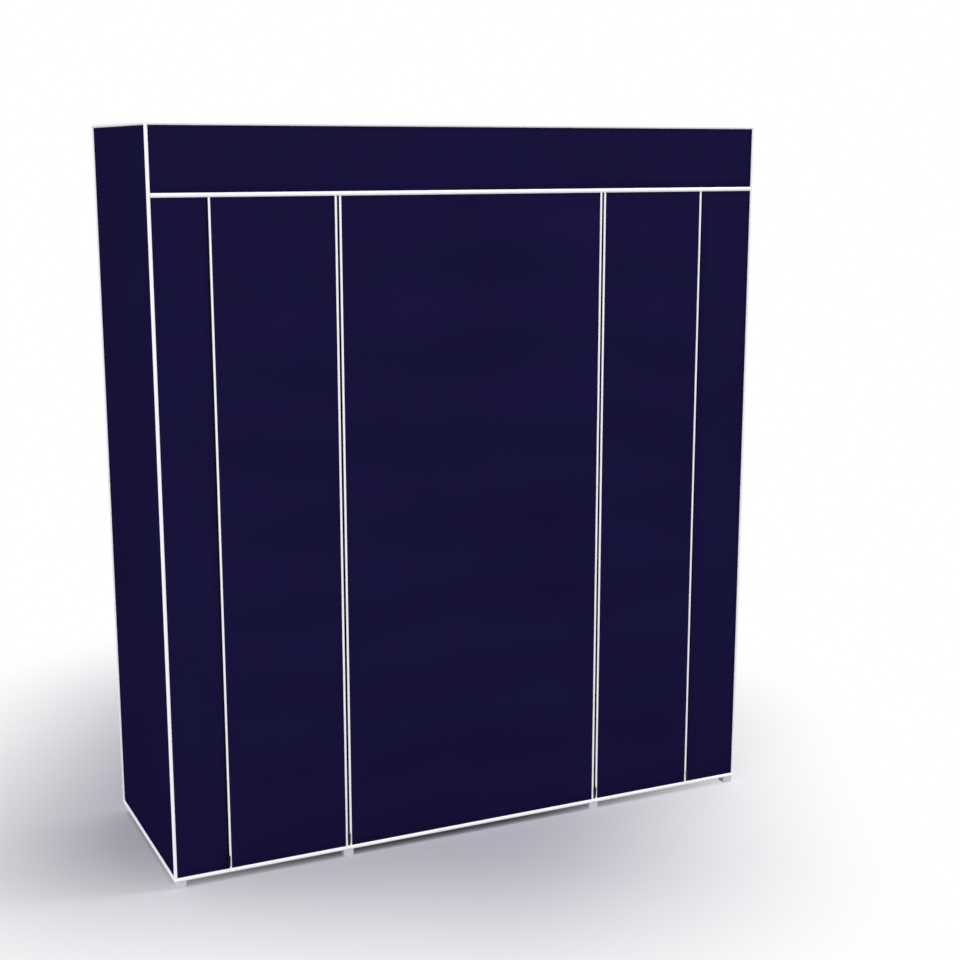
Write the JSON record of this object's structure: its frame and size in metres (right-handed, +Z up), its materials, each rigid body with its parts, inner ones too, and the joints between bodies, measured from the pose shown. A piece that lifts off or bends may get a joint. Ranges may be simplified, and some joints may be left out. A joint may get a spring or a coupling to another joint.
{
  "type": "portable fabric wardrobe",
  "caption": "Free-standing wardrobe: push-fit steel tube frame with cloth shelves and a hanging rail under a piped non-woven cover with roll-up zipped doors.",
  "frame": {"origin": "centre of the footprint, on the floor under the feet", "axes": "+X along the width to the viewer's right, the doors face -Y, +Z up"},
  "size_m": [1.5, 0.5128, 1.691],
  "materials": {
    "cover_cloth": "navy point-bonded non-woven cloth, matt with a faint sheen",
    "shelf_cloth": "navy non-woven cloth, doubled for the shelves",
    "white_piping": "white bias-cut piping over a soft core",
    "steel_tube": "pale grey powder-coated thin-wall steel tube",
    "connector_plastic": "pale grey moulded polypropylene",
    "zip_metal": "black enamelled die-cast zip slider and pull",
    "zip_tape": "black woven tape with a nylon coil"
  },
  "bodies": {
    "frame_and_cover": {"left_outer_upright_front": "steel_tube", "left_outer_upright_back": "steel_tube", "left_inner_upright_front": "steel_tube", "left_inner_upright_back": "steel_tube", "right_inner_upright_front": "steel_tube", "right_inner_upright_back": "steel_tube", "right_outer_upright_front": "steel_tube", "right_outer_upright_back": "steel_tube", "left_outer_depth_tube_bottom": "steel_tube", "left_outer_depth_tube_middle": "steel_tube", "left_outer_depth_tube_top": "steel_tube", "left_inner_depth_tube_bottom": "steel_tube", "left_inner_depth_tube_middle": "steel_tube", "left_inner_depth_tube_top": "steel_tube", "right_inner_depth_tube_bottom": "steel_tube", "right_inner_depth_tube_middle": "steel_tube", "right_inner_depth_tube_top": "steel_tube", "right_outer_depth_tube_bottom": "steel_tube", "right_outer_depth_tube_middle": "steel_tube", "right_outer_depth_tube_top": "steel_tube", "left_top_tube_front": "steel_tube", "left_top_tube_back": "steel_tube", "centre_top_tube_front": "steel_tube", "centre_top_tube_back": "steel_tube", "right_top_tube_front": "steel_tube", "right_top_tube_back": "steel_tube", "left_shelf_1": "shelf_cloth", "left_shelf_2": "shelf_cloth", "left_shelf_3": "shelf_cloth", "left_shelf_4": "shelf_cloth", "centre_floor_shelf": "shelf_cloth", "right_shelf_1": "shelf_cloth", "right_shelf_2": "shelf_cloth", "right_shelf_3": "shelf_cloth", "right_shelf_4": "shelf_cloth", "hanging_rail": "steel_tube", "top_panel": "cover_cloth", "back_panel": "cover_cloth", "left_side_panel": "cover_cloth", "right_side_panel": "cover_cloth", "header_band": "cover_cloth", "left_front_strip": "cover_cloth", "right_front_strip": "cover_cloth", "edge_piping": "white_piping", "header_piping": "white_piping", "left_door_curtain": "cover_cloth", "centre_door_curtain": "cover_cloth", "right_door_curtain": "cover_cloth"},
    "left_door": {"left_door_hem": "white_piping"},
    "centre_door": {"centre_door_hem": "white_piping"},
    "right_door": {"right_door_hem": "white_piping"},
    "left_slider": {"left_zip_slider": "zip_metal"},
    "left_pull": {"left_zip_pull": "zip_metal"},
    "centre_left_slider": {"centre_left_zip_slider": "zip_metal"},
    "centre_left_pull": {"centre_left_zip_pull": "zip_metal"},
    "centre_right_slider": {"centre_right_zip_slider": "zip_metal"},
    "centre_right_pull": {"centre_right_zip_pull": "zip_metal"},
    "right_slider": {"right_zip_slider": "zip_metal"},
    "right_pull": {"right_zip_pull": "zip_metal"}
  },
  "joints": [
    {"name": "left_door_roll", "type": "slide", "parent": "frame_and_cover", "child": "left_door", "axis": [0, 0, 1], "range_m": [0, 1.423], "deforming": ["left_door_curtain"]},
    {"name": "centre_door_roll", "type": "slide", "parent": "frame_and_cover", "child": "centre_door", "axis": [0, 0, 1], "range_m": [0, 1.423], "deforming": ["centre_door_curtain"]},
    {"name": "right_door_roll", "type": "slide", "parent": "frame_and_cover", "child": "right_door", "axis": [0, 0, 1], "range_m": [0, 1.423], "deforming": ["right_door_curtain"]},
    {"name": "left_zip_slide", "type": "slide", "parent": "frame_and_cover", "child": "left_slider", "axis": [0, 0, 1], "range_m": [0, 1.45]},
    {"name": "left_pull_swing", "type": "hinge", "parent": "left_slider", "child": "left_pull", "pos_m": [-0.6214, -0.2557, 0.0526], "axis": [-1, 0, 0], "range_deg": [0, 170]},
    {"name": "centre_left_zip_slide", "type": "slide", "parent": "frame_and_cover", "child": "centre_left_slider", "axis": [0, 0, 1], "range_m": [0, 1.45]},
    {"name": "centre_left_pull_swing", "type": "hinge", "parent": "centre_left_slider", "child": "centre_left_pull", "pos_m": [-0.33, -0.2557, 0.0526], "axis": [-1, 0, 0], "range_deg": [0, 170]},
    {"name": "centre_right_zip_slide", "type": "slide", "parent": "frame_and_cover", "child": "centre_right_slider", "axis": [0, 0, 1], "range_m": [0, 1.45]},
    {"name": "centre_right_pull_swing", "type": "hinge", "parent": "centre_right_slider", "child": "centre_right_pull", "pos_m": [0.33, -0.2557, 0.0526], "axis": [-1, 0, 0], "range_deg": [0, 170]},
    {"name": "right_zip_slide", "type": "slide", "parent": "frame_and_cover", "child": "right_slider", "axis": [0, 0, 1], "range_m": [0, 1.45]},
    {"name": "right_pull_swing", "type": "hinge", "parent": "right_slider", "child": "right_pull", "pos_m": [0.6034, -0.2557, 0.0526], "axis": [-1, 0, 0], "range_deg": [0, 170]}
  ]
}
